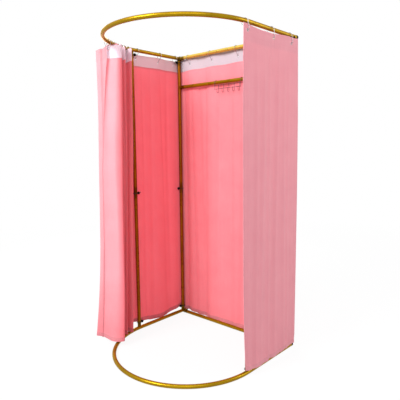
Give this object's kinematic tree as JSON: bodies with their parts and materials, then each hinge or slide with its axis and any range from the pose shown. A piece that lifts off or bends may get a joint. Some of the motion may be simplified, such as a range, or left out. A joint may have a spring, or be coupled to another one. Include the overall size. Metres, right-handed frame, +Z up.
{
  "type": "portable fitting room",
  "caption": "Free-standing D-shaped changing room of gold tube with fixed cloth panels, a front curtain on rings round a curved rail, and a hanging rail with a small rack of hooks.",
  "frame": {"origin": "on the floor, under the middle of the bottom back rail", "axes": "+X along the back rail to the right, +Y to the back, +Z up"},
  "size_m": [1.111, 0.986, 2.0045],
  "materials": {
    "gold_tube": "polished gold",
    "plug": "matte black",
    "cloth": "matte woven, pink",
    "header_band": "matte woven, white",
    "ring_wire": "bright plated",
    "rack_wire": "bright plated",
    "tie": "matte black elastic with a ball"
  },
  "bodies": {
    "frame": {"back_left_lower_post": "gold_tube", "back_left_lower_tie": "tie", "back_left_middle_tie": "tie", "back_left_upper_post": "gold_tube", "back_left_upper_tie": "tie", "back_panel": "cloth", "back_panel_band": "header_band", "back_panel_ring_1": "ring_wire", "back_panel_ring_2": "ring_wire", "back_panel_ring_3": "ring_wire", "back_panel_ring_4": "ring_wire", "back_panel_ring_5": "ring_wire", "back_right_lower_post": "gold_tube", "back_right_lower_tie": "tie", "back_right_middle_tie": "tie", "back_right_upper_post": "gold_tube", "back_right_upper_tie": "tie", "bottom_back_rail": "gold_tube", "bottom_left_end_plug": "plug", "bottom_left_rail": "gold_tube", "bottom_right_end_plug": "plug", "bottom_right_rail": "gold_tube", "curtain_ring_1": "ring_wire", "front_curtain": "cloth", "front_curtain_band": "header_band", "front_left_lower_post": "gold_tube", "front_left_lower_tie": "tie", "front_left_middle_tie": "tie", "front_left_upper_post": "gold_tube", "front_left_upper_tie": "tie", "front_right_lower_post": "gold_tube", "front_right_lower_tie": "tie", "front_right_middle_tie": "tie", "front_right_upper_post": "gold_tube", "front_right_upper_tie": "tie", "hanging_rail": "gold_tube", "left_panel": "cloth", "left_panel_band": "header_band", "left_panel_ring_1": "ring_wire", "left_panel_ring_2": "ring_wire", "left_panel_ring_3": "ring_wire", "right_panel": "cloth", "right_panel_band": "header_band", "right_panel_ring_1": "ring_wire", "right_panel_ring_2": "ring_wire", "right_panel_ring_3": "ring_wire", "top_back_rail": "gold_tube", "top_left_end_plug": "plug", "top_left_rail": "gold_tube", "top_right_end_plug": "plug", "top_right_rail": "gold_tube"},
    "curtain_lead": {"curtain_ring_8": "ring_wire"},
    "curtain_runner_2": {"curtain_ring_2": "ring_wire"},
    "curtain_runner_3": {"curtain_ring_3": "ring_wire"},
    "curtain_runner_4": {"curtain_ring_4": "ring_wire"},
    "curtain_runner_5": {"curtain_ring_5": "ring_wire"},
    "curtain_runner_6": {"curtain_ring_6": "ring_wire"},
    "curtain_runner_7": {"curtain_ring_7": "ring_wire"},
    "rack": {"hook_rack": "rack_wire"}
  },
  "joints": [
    {"name": "curtain_slide", "type": "hinge", "parent": "frame", "child": "curtain_lead", "pos_m": [0, -0.44, 1.9875], "axis": [0, 0, 1], "range_deg": [0, 135], "deforming": ["front_curtain", "front_curtain_band"]},
    {"name": "runner_2_slide", "type": "hinge", "parent": "frame", "child": "curtain_runner_2", "pos_m": [0, -0.44, 1.9875], "axis": [0, 0, 1], "range_deg": [0, 7]},
    {"name": "runner_3_slide", "type": "hinge", "parent": "frame", "child": "curtain_runner_3", "pos_m": [0, -0.44, 1.9875], "axis": [0, 0, 1], "range_deg": [0, 25.2]},
    {"name": "runner_4_slide", "type": "hinge", "parent": "frame", "child": "curtain_runner_4", "pos_m": [0, -0.44, 1.9875], "axis": [0, 0, 1], "range_deg": [0, 49.8]},
    {"name": "runner_5_slide", "type": "hinge", "parent": "frame", "child": "curtain_runner_5", "pos_m": [0, -0.44, 1.9875], "axis": [0, 0, 1], "range_deg": [0, 76.5]},
    {"name": "runner_6_slide", "type": "hinge", "parent": "frame", "child": "curtain_runner_6", "pos_m": [0, -0.44, 1.9875], "axis": [0, 0, 1], "range_deg": [0, 102.5]},
    {"name": "runner_7_slide", "type": "hinge", "parent": "frame", "child": "curtain_runner_7", "pos_m": [0, -0.44, 1.9875], "axis": [0, 0, 1], "range_deg": [0, 126.6]},
    {"name": "rack_slide", "type": "slide", "parent": "frame", "child": "rack", "axis": [1, 0, 0], "range_m": [-0.34, 0.355]}
  ],
  "couplings": [
    {"joint": "runner_2_slide", "follows": "curtain_slide", "ratio": 0.0509},
    {"joint": "runner_3_slide", "follows": "curtain_slide", "ratio": 0.1852},
    {"joint": "runner_4_slide", "follows": "curtain_slide", "ratio": 0.3677},
    {"joint": "runner_5_slide", "follows": "curtain_slide", "ratio": 0.5654},
    {"joint": "runner_6_slide", "follows": "curtain_slide", "ratio": 0.7582},
    {"joint": "runner_7_slide", "follows": "curtain_slide", "ratio": 0.9363}
  ]
}
